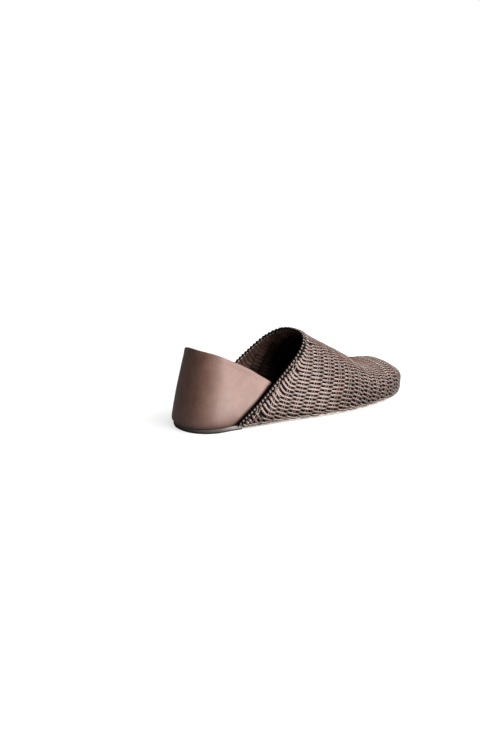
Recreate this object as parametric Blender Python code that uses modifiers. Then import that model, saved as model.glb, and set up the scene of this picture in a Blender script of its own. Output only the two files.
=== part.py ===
"""Woven leather mule for the right foot.

A woven cord vamp with a braided collar covers the toes and the instep, a soft
leather counter stands up behind the heel and runs forward inside the vamp, and
both stand on a thin leather sole with a low heel lift.  X runs from the back of
the heel to the toe, Y to the inner side of the foot, Z up.  Sizes are written
in millimetres and turned to metres when a mesh is made.
"""
import math

import bpy
import bmesh
import numpy as np

MM = 0.001

# Length and the place of the shoe: its box is centred on the origin, on the floor
LENGTH = 250.0
ORIGIN_X = 126.0
ORIGIN_Y = -0.4

# Outline of the form at its widest level, from above: where each breadth lies and how wide it is
OUTER, INNER = -1, 1
HEEL_AT, HEEL_HALF, HEEL_POWER = 29.5, 30.8, 2.14
TIP_SIDE = 7.0
OUTLINE = {
    OUTER: {"waist_at": 73.0, "waist": 34.5, "ball_at": 155.0, "ball": 43.8, "toe_powers": (2.0, 2.15)},
    INNER: {"waist_at": 93.0, "waist": 33.0, "ball_at": 178.0, "ball": 43.2, "toe_powers": (2.2, 2.30)},
}

# Top line of the form: station, height, shift to the inner side, section powers across and up.
# Behind the collar the rows stand for a foot that isn't there, and only shape the counter.
RIDGE = [
    (0.0, 115.0, 0.0, 2.00, 2.00),
    (55.0, 109.0, -1.0, 2.00, 2.00),
    (95.0, 90.5, -2.5, 2.25, 2.20),
    (119.0, 76.2, -3.2, 2.37, 2.33),
    (147.0, 59.8, 1.8, 2.41, 2.28),
    (172.5, 45.7, 7.0, 2.45, 2.20),
    (193.0, 33.2, 7.7, 2.50, 2.15),
    (214.0, 27.4, 8.0, 2.52, 2.10),
    (231.0, 25.6, 8.0, 2.52, 2.10),
    (242.5, 19.5, 7.3, 2.50, 2.10),
    (248.0, 15.0, 7.0, 2.45, 2.10),
    (250.0, 12.5, 7.0, 2.40, 2.10),
]

# Underside of the sole: station, height above the floor
UNDERSIDE = [
    (0.0, 1.7), (20.0, 1.6), (40.0, 1.3), (55.0, 0.9), (80.0, 0.45),
    (110.0, 0.0), (200.0, 0.0), (228.0, 1.8), (250.0, 5.0),
]

# Forward lean of the back of the heel: height, shift at the very back
BACK_LEAN = [(0.0, 1.0), (4.0, -1.0), (7.5, -2.2), (14.0, -1.0), (31.0, 2.9), (51.0, 8.0), (78.0, 14.4), (116.0, 21.0)]
LEAN_REACH = 64.5

# Roll of the form above the sole
EQUATOR_RISE = 8.0
EQUATOR_SHARE = 0.6
TUCK = 0.6

# Sole, heel lift and insole
SOLE_THICK = 2.5
SOLE_MARGIN = [(0.0, 0.2), (30.0, -0.2), (60.0, 0.4), (90.0, 1.6), (200.0, 1.6), (250.0, 1.2)]
LIFT_LENGTH = 46.0
LIFT_INSET = 0.4
INSOLE_THICK = 2.0
INSOLE_INSET = 4.8
SEAT_GAP = 0.3

# Counter: its top edge is a little lower on the inner side
COUNTER_WALL = 1.8
COUNTER_TOP = [(0.0, 73.4), (12.0, 70.9), (38.0, 61.2), (54.0, 53.8), (70.0, 43.8), (82.0, 35.6), (120.0, 12.0)]
INNER_DROP, DROP_REACH = 2.4, 4.0
COUNTER_REACH = 16.0

# Collar line: the stations where it leaves the sole on each side and where it crosses the ridge
COLLAR_FOOT = {OUTER: 45.0, INNER: 39.0}
COLLAR_TOP = 126.5
FOOT_LEVEL = 4.0

# Weave of the vamp
WALL_GAP = 0.6
VAMP_WALL = 1.9
CORD_RAISED = 0.75
CORD_SUNK = -0.45
COLUMNS = 12
HALF_ROWS = 22
FLOAT_SHARE = (0.22, 0.78)
TOP_EVENNESS = 0.35

# Braided collar edge
BRAID_RADIUS = 1.75
BRAID_LOBE = 0.22
BRAID_LAY = 8.0
BRAID_STEP = 2.5
BRAID_SIDES = 8
BRAID_GAP = 0.35

# Fineness of the pieces: stations crowd towards the round back by the power of their share
SOLE_STATIONS = 34
SOLE_LANES = 4
LIFT_STATIONS = 14
LIFT_CROWDING = 1.6
COUNTER_STATIONS = 17
COUNTER_CROWDING = 1.7
COUNTER_ROWS = 6
SECTION_SAMPLES = 121
SOLVE_STEPS = 45

COLOURS = {
    "outsole": (0.78, 0.66, 0.60), "heel_lift": (0.03, 0.028, 0.026), "insole": (0.05, 0.035, 0.03),
    "heel_counter": (0.30, 0.19, 0.15), "vamp": (0.16, 0.11, 0.095), "collar_braid": (0.14, 0.10, 0.085),
}
ROUGHNESS = {
    "outsole": 0.6, "heel_lift": 0.7, "insole": 0.7, "heel_counter": 0.42, "vamp": 0.45, "collar_braid": 0.45,
}


def through(table, at, column=1):
    """Smooth curve through a column of a table, with no overshoot between its rows."""
    rows = np.array(table, dtype=float)
    xs = rows[:, 0]
    ys = rows[:, column]
    step = np.diff(xs)
    rise = np.diff(ys) / step
    slope = np.zeros_like(ys)
    slope[0] = rise[0]
    slope[-1] = rise[-1]
    for i in range(1, len(xs) - 1):
        if rise[i - 1] * rise[i] > 0:
            before = 2 * step[i] + step[i - 1]
            after = step[i] + 2 * step[i - 1]
            slope[i] = (before + after) / (before / rise[i - 1] + after / rise[i])
    at = np.clip(np.asarray(at, dtype=float), xs[0], xs[-1])
    i = np.clip(np.searchsorted(xs, at) - 1, 0, len(step) - 1)
    t = (at - xs[i]) / step[i]
    return (ys[i] * (1 + 2 * t) * (1 - t) ** 2 + slope[i] * step[i] * t * (1 - t) ** 2
            + ys[i + 1] * t * t * (3 - 2 * t) + slope[i + 1] * step[i] * t * t * (t - 1))


def eased(start, end, share):
    """Blend that leaves its start and reaches its end level."""
    return start + (end - start) * (0.5 - 0.5 * np.cos(np.pi * np.clip(share, 0, 1)))


def outline(x, side):
    """Signed breadth of the form at station x: heel arc, waist, ball and toe arc in turn."""
    plan = OUTLINE[side]
    back = (HEEL_AT - np.clip(x, 0, HEEL_AT)) / HEEL_AT
    heel = HEEL_HALF * np.clip(1 - back ** HEEL_POWER, 0, 1) ** (1 / HEEL_POWER)
    waist = eased(HEEL_HALF, plan["waist"], (x - HEEL_AT) / (plan["waist_at"] - HEEL_AT))
    ball = eased(plan["waist"], plan["ball"], (x - plan["waist_at"]) / (plan["ball_at"] - plan["waist_at"]))
    reach = np.clip((x - plan["ball_at"]) / (LENGTH - plan["ball_at"]), 0, 1)
    forward, across = plan["toe_powers"]
    tip = TIP_SIDE * side
    toe = tip + (plan["ball"] - tip) * np.clip(1 - reach ** forward, 0, 1) ** (1 / across)
    bands = [x < HEEL_AT, x < plan["waist_at"], x < plan["ball_at"]]
    return side * np.select(bands, [heel, waist, ball], toe)


def feather(x):
    """Height of the line where the upper meets the sole."""
    return through(UNDERSIDE, x) + SOLE_THICK


def equator(x):
    """Height at which the form is widest."""
    low = feather(x)
    return np.minimum(low + EQUATOR_RISE, low + EQUATOR_SHARE * (through(RIDGE, x) - low))


def heel_lean(x, z):
    return through(BACK_LEAN, z) * np.clip(1 - x / LEAN_REACH, 0, 1)


def form_side(x, z, side):
    """Breadth of the form at station x and height z."""
    ridge = through(RIDGE, x)
    ridge_side = through(RIDGE, x, 2)
    wide = equator(x)
    low = feather(x)
    share = np.clip((z - wide) / (ridge - wide), 0, 1)
    cut = np.clip(1 - share ** through(RIDGE, x, 4), 0, 1) ** (1 / through(RIDGE, x, 3))
    y = outline(x, side) * cut + ridge_side * (1 - cut)
    roll = TUCK * np.clip((wide - z) / (wide - low), 0, 1) ** 2
    return y - side * np.minimum(roll, np.abs(y - ridge_side))


def section_height(x, turn):
    """Height on the section at x for a turn of -1 at the sole, 0 at the equator and 1 on the ridge."""
    wide = equator(x)
    up = np.sin(0.5 * np.pi * np.clip(turn, 0, 1)) ** (2 / through(RIDGE, x, 4))
    return wide + (through(RIDGE, x) - wide) * up + (wide - feather(x)) * np.clip(turn, -1, 0)


def run_along(path):
    """Distance from the start of a path to each of its points."""
    return np.concatenate([[0], np.cumsum(np.linalg.norm(np.diff(path, axis=0), axis=1))])


def at_runs(wanted, run, values):
    """Values along a path, read at other distances from its start."""
    return np.stack([np.interp(wanted, run, values[:, i]) for i in range(3)], axis=1)


def slant_between(foot, top):
    """How far a section runs forward for each millimetre up, from its foot to its top on the ridge."""
    return (top - foot) / (through(RIDGE, top) - FOOT_LEVEL)


def leaning_section(foot, top, side, rows):
    """Points of the form from the sole to the ridge, evenly spaced, on a section that leans forward."""
    slant = slant_between(foot, top)
    turn = np.linspace(-1, 1, SECTION_SAMPLES)
    low = np.full(turn.shape, float(foot) - FOOT_LEVEL)
    high = np.full(turn.shape, LENGTH)
    for _ in range(SOLVE_STEPS):
        x = (low + high) / 2
        past = x - slant * (section_height(x, turn) - FOOT_LEVEL) > foot
        high = np.where(past, x, high)
        low = np.where(past, low, x)
    z = section_height(x, turn)
    dense = np.stack([x + heel_lean(x, z), form_side(x, z, side), z], axis=1)
    dense[-1, 1] = through(RIDGE, x[-1], 2)
    run = run_along(dense)
    return at_runs(np.linspace(0, run[-1], rows + 1), run, dense)


def plan_edge(stations, margin):
    """Two edges of the form seen from above, outer and inner, pushed out by a margin."""
    share = np.linspace(0, 1, stations + 1)
    x = LENGTH * (0.5 - 0.5 * np.cos(np.pi * share))
    edges = []
    for side in (OUTER, INNER):
        edge = np.stack([x, outline(x, side)], axis=1)
        along = np.gradient(edge, axis=0)
        along[0] = (0, side)
        along[-1] = (0, -side)
        out = np.stack([-along[:, 1], along[:, 0]], axis=1) * side
        out /= np.linalg.norm(out, axis=1, keepdims=True)
        edges.append(edge + out * np.reshape(margin(x), (-1, 1)))
    return edges


def sheet_grid(edges, lanes, height):
    """Grid of points between two edges, stations by lanes, lifted to a height for each station."""
    outer, inner = edges
    share = np.linspace(0, 1, lanes + 1)[None, :, None]
    flat = outer[:, None, :] * (1 - share) + inner[:, None, :] * share
    return np.concatenate([flat, height(np.clip(flat[..., :1], 0, LENGTH))], axis=2)


def new_object(name, bm):
    """Finish a bmesh in millimetres as a named object with its own material, under the shoe's empty."""
    bmesh.ops.remove_doubles(bm, verts=bm.verts, dist=0.001)
    bmesh.ops.dissolve_degenerate(bm, edges=bm.edges, dist=0.0005)
    bmesh.ops.scale(bm, vec=(MM, MM, MM), verts=bm.verts)
    mesh = bpy.data.meshes.new(name)
    bm.to_mesh(mesh)
    bm.free()
    mesh.shade_smooth()
    mesh.set_sharp_from_angle(angle=math.radians(40))
    material = bpy.data.materials.new(name)
    material.use_nodes = True
    shader = material.node_tree.nodes["Principled BSDF"]
    shader.inputs["Base Color"].default_value = (*COLOURS[name], 1)
    shader.inputs["Roughness"].default_value = ROUGHNESS[name]
    shader.inputs["Metallic"].default_value = 0.0
    mesh.materials.append(material)
    piece = bpy.data.objects.new(name, mesh)
    piece.parent = shoe
    parts.objects.link(piece)
    return piece


def add_grid(bm, grid, flip=False):
    """Faces over a grid of points; the rows of new vertices are returned for stitching."""
    verts = [[bm.verts.new(point) for point in row] for row in grid]
    for a, b in zip(verts, verts[1:]):
        for i in range(len(a) - 1):
            face = (a[i], b[i], b[i + 1], a[i + 1])
            bm.faces.new(face[::-1] if flip else face)
    return verts


def border(verts, joined_end):
    """Pairs of neighbouring vertices around a grid, in one turn; an end that joins itself has no border."""
    first = verts[0]
    last = verts[-1]
    runs = [first, [row[-1] for row in verts], [row[0] for row in verts[::-1]]]
    if not joined_end:
        runs.insert(2, last[::-1])
    return [pair for run in runs for pair in zip(run, run[1:])]


def closed_between(upper, lower, joined_end=False):
    """Closed body between two grids of the same size."""
    bm = bmesh.new()
    top = border(add_grid(bm, upper), joined_end)
    base = border(add_grid(bm, lower, flip=True), joined_end)
    for (a, b), (c, d) in zip(top, base):
        bm.faces.new((a, b, d, c))
    return bm


def thicken(piece, thickness):
    """Give an open sheet its wall, grown away from the side that it faces."""
    wall = piece.modifiers.new("wall", "SOLIDIFY")
    wall.thickness = thickness * MM
    wall.offset = -1
    wall.use_even_offset = True


def make_outsole():
    grid = sheet_grid(plan_edge(SOLE_STATIONS, lambda x: through(SOLE_MARGIN, x)), SOLE_LANES, feather)
    bm = bmesh.new()
    add_grid(bm, grid)
    thicken(new_object("outsole", bm), SOLE_THICK)


def make_insole():
    def under_foot(x):
        return feather(x) + SEAT_GAP + INSOLE_THICK
    grid = sheet_grid(plan_edge(SOLE_STATIONS, lambda x: 0 * x - INSOLE_INSET), SOLE_LANES, under_foot)
    bm = bmesh.new()
    add_grid(bm, grid)
    thicken(new_object("insole", bm), INSOLE_THICK)


def make_heel_lift():
    """Wedge under the heel, flat on the floor, with a straight front."""
    fine = plan_edge(8 * SOLE_STATIONS, lambda x: 0 * x - LIFT_INSET)
    share = np.linspace(0, 1, LIFT_STATIONS + 1)
    back = fine[0][0, 0]
    x = back + (LIFT_LENGTH - back) * share ** LIFT_CROWDING
    edges = [np.stack([x, np.interp(x, edge[:, 0], edge[:, 1])], axis=1) for edge in fine]
    top = sheet_grid(edges, SOLE_LANES, lambda s: through(UNDERSIDE, s) - SEAT_GAP)
    base = sheet_grid(edges, SOLE_LANES, lambda s: 0 * s)
    new_object("heel_lift", closed_between(top, base))


def counter_top(x, side):
    """Height of the counter's top edge."""
    drop = INNER_DROP * (1 - np.exp(-x / DROP_REACH)) if side == INNER else 0.0
    return through(COUNTER_TOP, x) - drop


def counter_point(share, rise, side):
    """Point of the counter: share runs from the back to its front end, rise from the sole to the top line."""
    slant = slant_between(COLLAR_FOOT[side], COLLAR_TOP)
    x = COLLAR_FOOT[side] * share
    for _ in range(SOLVE_STEPS):
        low = feather(x) + SEAT_GAP
        z = low + (counter_top(x, side) - low) * rise
        x = share * (COLLAR_FOOT[side] + COUNTER_REACH + slant * (z - FOOT_LEVEL))
    return np.stack([x + heel_lean(x, z), form_side(x, z, side), z], axis=-1)


def make_heel_counter():
    share, rise = np.meshgrid(np.linspace(0, 1, COUNTER_STATIONS + 1) ** COUNTER_CROWDING,
                              np.linspace(0, 1, COUNTER_ROWS + 1), indexing="ij")
    outer = counter_point(share, rise, OUTER)
    inner = counter_point(share, rise, INNER)
    around = np.concatenate([outer[::-1], inner[1:]])
    bm = bmesh.new()
    add_grid(bm, around, flip=True)
    thicken(new_object("heel_counter", bm), COUNTER_WALL)


def column_lines():
    """Shares of the way from the collar to the toe where the woven wall has a line of points."""
    lines = [(0.0, None)]
    for column in range(COLUMNS):
        lines += [((column + edge) / COLUMNS, column) for edge in FLOAT_SHARE]
    return lines + [(1.0, None)]


def vamp_grid():
    """Points of the form under the vamp, columns by rows, with the outward direction at each."""
    sections = []
    for share, _ in column_lines():
        closing = math.sin(0.5 * math.pi * share)
        top = COLLAR_TOP + (LENGTH - COLLAR_TOP) * (TOP_EVENNESS * share + (1 - TOP_EVENNESS) * closing)
        feet = {side: start + (LENGTH - start) * closing for side, start in COLLAR_FOOT.items()}
        outer, inner = [leaning_section(feet[side], top, side, HALF_ROWS) for side in (OUTER, INNER)]
        sections.append(np.concatenate([outer, inner[::-1][1:]]))
    grid = np.array(sections)
    out = np.cross(np.gradient(grid, axis=0), np.gradient(grid, axis=1))
    out *= np.sign(out[0, HALF_ROWS, 2])
    out[-1] = out[-2] + out[-2, ::-1]
    out[..., 2] = np.maximum(out[..., 2], 0)
    out[-1, :, 1] = 0
    out /= np.linalg.norm(out, axis=2, keepdims=True)
    return grid, out


def cord_relief():
    """Height of the cords: each one floats over every second column, and its neighbours over the others."""
    relief = np.zeros((2 * COLUMNS + 2, 2 * HALF_ROWS + 1))
    for line, (_, column) in enumerate(column_lines()):
        if column is None:
            continue
        rows = np.arange(1, 2 * HALF_ROWS)
        relief[line, rows] = np.where((rows + column) % 2 == 0, CORD_RAISED, CORD_SUNK)
    return relief


def make_vamp():
    grid, out = vamp_grid()
    inside = grid + out * WALL_GAP
    outside = grid + out * (WALL_GAP + VAMP_WALL + cord_relief())[..., None]
    for wall in (inside, outside):
        for edge in (0, -1):
            wall[:, edge, 2] = feather(wall[:, edge, 0]) + SEAT_GAP
    new_object("vamp", closed_between(outside, inside, joined_end=True))


def make_collar_braid():
    """Twisted two-strand cord along the collar, from the sole over the instep to the sole again."""
    grid, out = vamp_grid()
    ahead = grid[1] - grid[0]
    ahead -= out[0] * np.sum(ahead * out[0], axis=1, keepdims=True)
    ahead /= np.linalg.norm(ahead, axis=1, keepdims=True)
    path = grid[0] + out[0] * (BRAID_RADIUS + WALL_GAP) - ahead * (BRAID_RADIUS + BRAID_GAP)
    run = run_along(path)
    seat = BRAID_RADIUS + SEAT_GAP
    steps = int((run[-1] - 2 * seat) / BRAID_STEP)
    even = np.linspace(seat, run[-1] - seat, steps + 1)
    centre, up, back = [at_runs(even, run, values) for values in (path, out[0], -ahead)]
    bm = bmesh.new()
    rings = []
    for i in range(steps + 1):
        half_twist = math.pi * even[i] / BRAID_LAY
        ring = []
        for k in range(BRAID_SIDES):
            angle = 2 * math.pi * k / BRAID_SIDES
            radius = BRAID_RADIUS * (1 - BRAID_LOBE * math.sin(angle - half_twist) ** 2)
            spoke = up[i] * math.cos(angle) + back[i] * math.sin(angle)
            ring.append(bm.verts.new(centre[i] + radius * spoke))
        rings.append(ring)
    for a, b in zip(rings, rings[1:]):
        for k in range(BRAID_SIDES):
            m = (k + 1) % BRAID_SIDES
            bm.faces.new((a[k], b[k], b[m], a[m]))
    bm.faces.new(rings[0])
    bm.faces.new(rings[-1][::-1])
    bmesh.ops.recalc_face_normals(bm, faces=bm.faces)
    new_object("collar_braid", bm)


for old in list(bpy.data.objects):
    bpy.data.objects.remove(old, do_unlink=True)

parts = bpy.data.collections.new("woven_mule")
bpy.context.scene.collection.children.link(parts)
shoe = bpy.data.objects.new("shoe", None)
shoe.location = (-ORIGIN_X * MM, -ORIGIN_Y * MM, 0)
parts.objects.link(shoe)

make_outsole()
make_heel_lift()
make_insole()
make_heel_counter()
make_vamp()
make_collar_braid()
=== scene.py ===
# %% [markdown]
# The dressed mule. The imported solids give the shoe its size and its place; this lesson gives it its
# looks: every woven cord, the corded rim, the soft heel counter, the thin pale sole and the light.
# It starts by loading the solids as a fixed frame. Loading leaves them selected, so everything is
# deselected before the first operator runs.

# %% Load the frame
import math

import bpy
import numpy as np
from mathutils import Matrix, Vector


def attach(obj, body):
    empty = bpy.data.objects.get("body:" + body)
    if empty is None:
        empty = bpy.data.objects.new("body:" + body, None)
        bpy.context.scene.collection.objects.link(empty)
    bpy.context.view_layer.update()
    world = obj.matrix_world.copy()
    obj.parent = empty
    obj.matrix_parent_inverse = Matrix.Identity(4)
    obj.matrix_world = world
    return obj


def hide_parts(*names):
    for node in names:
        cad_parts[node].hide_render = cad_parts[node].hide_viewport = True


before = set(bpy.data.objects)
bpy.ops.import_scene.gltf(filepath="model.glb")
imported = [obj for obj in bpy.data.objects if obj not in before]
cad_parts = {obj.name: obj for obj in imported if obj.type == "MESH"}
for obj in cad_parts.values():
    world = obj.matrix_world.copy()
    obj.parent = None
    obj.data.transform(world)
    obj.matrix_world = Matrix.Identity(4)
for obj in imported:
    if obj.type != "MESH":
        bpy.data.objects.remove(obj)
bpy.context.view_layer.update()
bpy.ops.object.select_all(action="DESELECT")
print("solids:", sorted(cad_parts))


# %% [markdown]
# The camera comes first, because every later choice is judged through it. The picture was taken from
# behind the heel, on the outer side, a little above the floor and with a long lens. The shoe stands
# right of the picture's middle, so the camera is turned a little, about its own place, until the
# point that it was set up on lies at that pixel. Turning keeps the lens unshifted.

# %% Camera
MM = 0.001
PHOTO_SIZE = (480, 747)
PHOTO_FOCAL = 1437.7
SENSOR = 36.0
CLIP_END = 200.0
CAMERA_TURN, CAMERA_RISE, CAMERA_AWAY = -36.45, 15.1, 1.339
LOOK_AT = Vector((-0.010, 0.0004, 0.036))
LOOK_PIXEL = (284.28, 370.78)


def direction(turn, rise):
    """Direction from two angles in degrees: from the outer side towards the toe, and up."""
    turn = math.radians(turn)
    rise = math.radians(rise)
    return Vector((math.sin(turn) * math.cos(rise), -math.cos(turn) * math.cos(rise), math.sin(rise)))


def make_camera():
    back = direction(CAMERA_TURN, CAMERA_RISE)
    right = Vector((0, 0, 1)).cross(back).normalized()
    up = back.cross(right)
    aside = PHOTO_SIZE[0] / 2 - LOOK_PIXEL[0]
    below = PHOTO_SIZE[1] / 2 - LOOK_PIXEL[1]
    aim = -back * PHOTO_FOCAL + right * aside - up * below
    turn = (-back).rotation_difference(aim.normalized()).to_matrix()
    upright = Matrix((right, up, back)).transposed()
    data = bpy.data.cameras.new("camera")
    data.sensor_width = SENSOR
    data.lens = PHOTO_FOCAL * SENSOR / max(PHOTO_SIZE)
    data.clip_end = CLIP_END
    camera = bpy.data.objects.new("camera", data)
    camera.matrix_world = Matrix.Translation(LOOK_AT + back * CAMERA_AWAY) @ (turn @ upright).to_4x4()
    bpy.context.scene.collection.objects.link(camera)
    bpy.context.scene.camera = camera
    return camera


camera = make_camera()
print("camera at", [round(v, 3) for v in camera.location], "lens", round(camera.data.lens, 1))


# %% [markdown]
# The shoe is shaped on a last, and the solids were worked out from the same last, but for a rounder
# tip of the toe here. Its sizes are repeated, in millimetres from the back of the heel, because the
# fine pieces have to lie on it to a fraction of a millimetre. An outline gives its breadth, a ridge
# line its height, and a rounded section joins the two at every station.

# %% Sizes of the last
LENGTH = 250.0
ORIGIN = np.array([126.0, -0.4, 0.0])
OUTER, INNER = -1, 1
HEEL_AT, HEEL_HALF, HEEL_POWER = 29.5, 30.8, 2.14
TIP_SIDE = 7.0
OUTLINE = {
    OUTER: {"waist_at": 73.0, "waist": 34.5, "ball_at": 155.0, "ball": 43.8, "toe_powers": (2.0, 2.15)},
    INNER: {"waist_at": 93.0, "waist": 33.0, "ball_at": 178.0, "ball": 43.2, "toe_powers": (2.2, 2.30)},
}
# Station, height, shift to the inner side, section powers across and up
RIDGE = [
    (0.0, 115.0, 0.0, 2.00, 2.00),
    (55.0, 109.0, -1.0, 2.00, 2.00),
    (95.0, 90.5, -2.5, 2.25, 2.20),
    (119.0, 76.2, -3.2, 2.37, 2.33),
    (147.0, 59.8, 1.8, 2.41, 2.28),
    (172.5, 45.7, 7.0, 2.45, 2.20),
    (193.0, 33.2, 7.7, 2.50, 2.15),
    (214.0, 27.4, 8.0, 2.52, 2.10),
    (231.0, 26.0, 8.0, 2.52, 2.10),
    (242.5, 19.4, 7.3, 2.50, 2.10),
    (248.0, 13.4, 7.0, 2.45, 2.10),
    (250.0, 10.0, 7.0, 2.40, 2.10),
]
# Station, height of the sole's underside above the floor
UNDERSIDE = [
    (0.0, 1.7), (20.0, 1.6), (40.0, 1.3), (55.0, 0.9), (80.0, 0.45),
    (110.0, 0.0), (200.0, 0.0), (228.0, 1.8), (250.0, 5.0),
]
# Height, forward lean of the back of the heel
BACK_LEAN = [
    (0.0, 1.0), (4.0, -1.0), (7.5, -2.2), (14.0, -1.0),
    (31.0, 2.9), (51.0, 8.0), (78.0, 14.4), (116.0, 21.0),
]
LEAN_REACH = 64.5
EQUATOR_RISE, EQUATOR_SHARE, TUCK = 8.0, 0.6, 0.6
SOLE_THICK = 2.5
SEAT_GAP = 0.3
COLLAR_FOOT = {OUTER: 45.0, INNER: 39.0}
COLLAR_TOP = 126.5
FOOT_LEVEL = 4.0
SOLVE_STEPS = 45
TINY = 1e-9


def smooth_bend(start, start_way, end, end_way, t):
    """Bend between two places, left and reached in the given directions."""
    return (start * (1 + 2 * t) * (1 - t) ** 2 + start_way * t * (1 - t) ** 2
            + end * t * t * (3 - 2 * t) + end_way * t * t * (t - 1))


def through(table, at, column=1):
    """Smooth curve through a column of a table, with no overshoot between its rows."""
    rows = np.array(table, dtype=float)
    xs = rows[:, 0]
    ys = rows[:, column]
    step = np.diff(xs)
    rise = np.diff(ys) / step
    slope = np.zeros_like(ys)
    slope[0] = rise[0]
    slope[-1] = rise[-1]
    for i in range(1, len(xs) - 1):
        if rise[i - 1] * rise[i] > 0:
            before = 2 * step[i] + step[i - 1]
            after = step[i] + 2 * step[i - 1]
            slope[i] = (before + after) / (before / rise[i - 1] + after / rise[i])
    at = np.clip(np.asarray(at, dtype=float), xs[0], xs[-1])
    i = np.clip(np.searchsorted(xs, at) - 1, 0, len(step) - 1)
    t = (at - xs[i]) / step[i]
    return smooth_bend(ys[i], slope[i] * step[i], ys[i + 1], slope[i + 1] * step[i], t)


def eased(start, end, share):
    """Blend that leaves its start and reaches its end level."""
    return start + (end - start) * (0.5 - 0.5 * np.cos(np.pi * np.clip(share, 0, 1)))


def faded(start, end, at, first, last):
    """Blend between two values while a third goes from its first to its last."""
    return eased(start, end, (at - first) / (last - first))


def unit(vectors):
    """The same directions at length one."""
    return vectors / np.maximum(np.linalg.norm(vectors, axis=-1, keepdims=True), TINY)


def halves(values):
    """Each side of the shoe with the values that lie on it."""
    return (OUTER, values < 0), (INNER, values >= 0)


print("the last is", LENGTH, "mm long, with", len(RIDGE), "stations on its ridge")


# %% [markdown]
# These short functions are the last itself: how broad it is at a station, where the upper meets the
# sole, at which height it is widest, how far the heel leans and where the collar cuts it.

# %% Form of the last
def outline(x, side):
    """Signed breadth of the form at station x: heel arc, waist, ball and toe arc in turn."""
    plan = OUTLINE[side]
    back = (HEEL_AT - np.clip(x, 0, HEEL_AT)) / HEEL_AT
    heel = HEEL_HALF * np.clip(1 - back ** HEEL_POWER, 0, 1) ** (1 / HEEL_POWER)
    waist = faded(HEEL_HALF, plan["waist"], x, HEEL_AT, plan["waist_at"])
    ball = faded(plan["waist"], plan["ball"], x, plan["waist_at"], plan["ball_at"])
    reach = np.clip((x - plan["ball_at"]) / (LENGTH - plan["ball_at"]), 0, 1)
    forward, across = plan["toe_powers"]
    tip = TIP_SIDE * side
    toe = tip + (plan["ball"] - tip) * np.clip(1 - reach ** forward, 0, 1) ** (1 / across)
    bands = [x < HEEL_AT, x < plan["waist_at"], x < plan["ball_at"]]
    return side * np.select(bands, [heel, waist, ball], toe)


def feather(x):
    """Height of the line where the upper meets the sole."""
    return through(UNDERSIDE, x) + SOLE_THICK


def equator(x):
    """Height at which the form is widest."""
    low = feather(x)
    return np.minimum(low + EQUATOR_RISE, low + EQUATOR_SHARE * (through(RIDGE, x) - low))


def heel_lean(x, z):
    return through(BACK_LEAN, z) * np.clip(1 - x / LEAN_REACH, 0, 1)


def form_side(x, z, side):
    """Breadth of the form at station x and height z."""
    ridge = through(RIDGE, x)
    ridge_side = through(RIDGE, x, 2)
    wide = equator(x)
    low = feather(x)
    share = np.clip((z - wide) / (ridge - wide), 0, 1)
    cut = np.clip(1 - share ** through(RIDGE, x, 4), 0, 1) ** (1 / through(RIDGE, x, 3))
    y = outline(x, side) * cut + ridge_side * (1 - cut)
    roll = TUCK * np.clip((wide - z) / (wide - low), 0, 1) ** 2
    return y - side * np.minimum(roll, np.abs(y - ridge_side))


def section_height(x, turn):
    """Height on the section at x for a turn of -1 at the sole, 0 at the equator and 1 on the ridge."""
    wide = equator(x)
    up = np.sin(0.5 * np.pi * np.clip(turn, 0, 1)) ** (2 / through(RIDGE, x, 4))
    return wide + (through(RIDGE, x) - wide) * up + (wide - feather(x)) * np.clip(turn, -1, 0)


def collar_slant(side):
    """How far the collar line runs forward for each millimetre up."""
    return (COLLAR_TOP - COLLAR_FOOT[side]) / (through(RIDGE, COLLAR_TOP) - FOOT_LEVEL)


def past_collar(x, z, side):
    """Distance ahead of the collar line, negative behind it."""
    return x - COLLAR_FOOT[side] - collar_slant(side) * (z - FOOT_LEVEL)


def run_along(path):
    """Distance from the start of a path to each of its points."""
    return np.concatenate([[0], np.cumsum(np.linalg.norm(np.diff(path, axis=0), axis=1))])


def even_marks(path, step):
    """Distances of a path's points from its start, and those at which it is cut into even steps."""
    run = run_along(path)
    return run, np.linspace(0, run[-1], max(int(run[-1] / step), 2) + 1)


print("collar slants:", [round(float(collar_slant(side)), 3) for side in (OUTER, INNER)])


# %% [markdown]
# A weaver thinks in stakes and rows, so the vamp gets a chart of its own: one axis counts the stakes,
# which stand as leaning planes across the foot, and the other is the distance from the ridge down to
# the sole, negative on the outer side. The chart is worked out once on a fine grid, with the place
# on the last, the outward direction and the distance from the collar, and then read anywhere.

# %% Chart of the vamp
STAKE_PITCH = 13.45
STAKE_FOOT = 96.4
STAKE_SLANT = 0.40
UPRIGHT_FROM, UPRIGHT_BY = 8.0, 10.6
CHART_FIRST, CHART_LAST, CHART_STEP = -4.2, 11.38, 0.06
RUN_LIMIT, RUN_STEP = 150.0, 1.0
SECTION_SAMPLES = 241
INSIDE_GRID = 1.001

chart_columns = np.arange(CHART_FIRST, CHART_LAST, CHART_STEP)
chart_runs = np.arange(-RUN_LIMIT, RUN_LIMIT + RUN_STEP, RUN_STEP)


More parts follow.
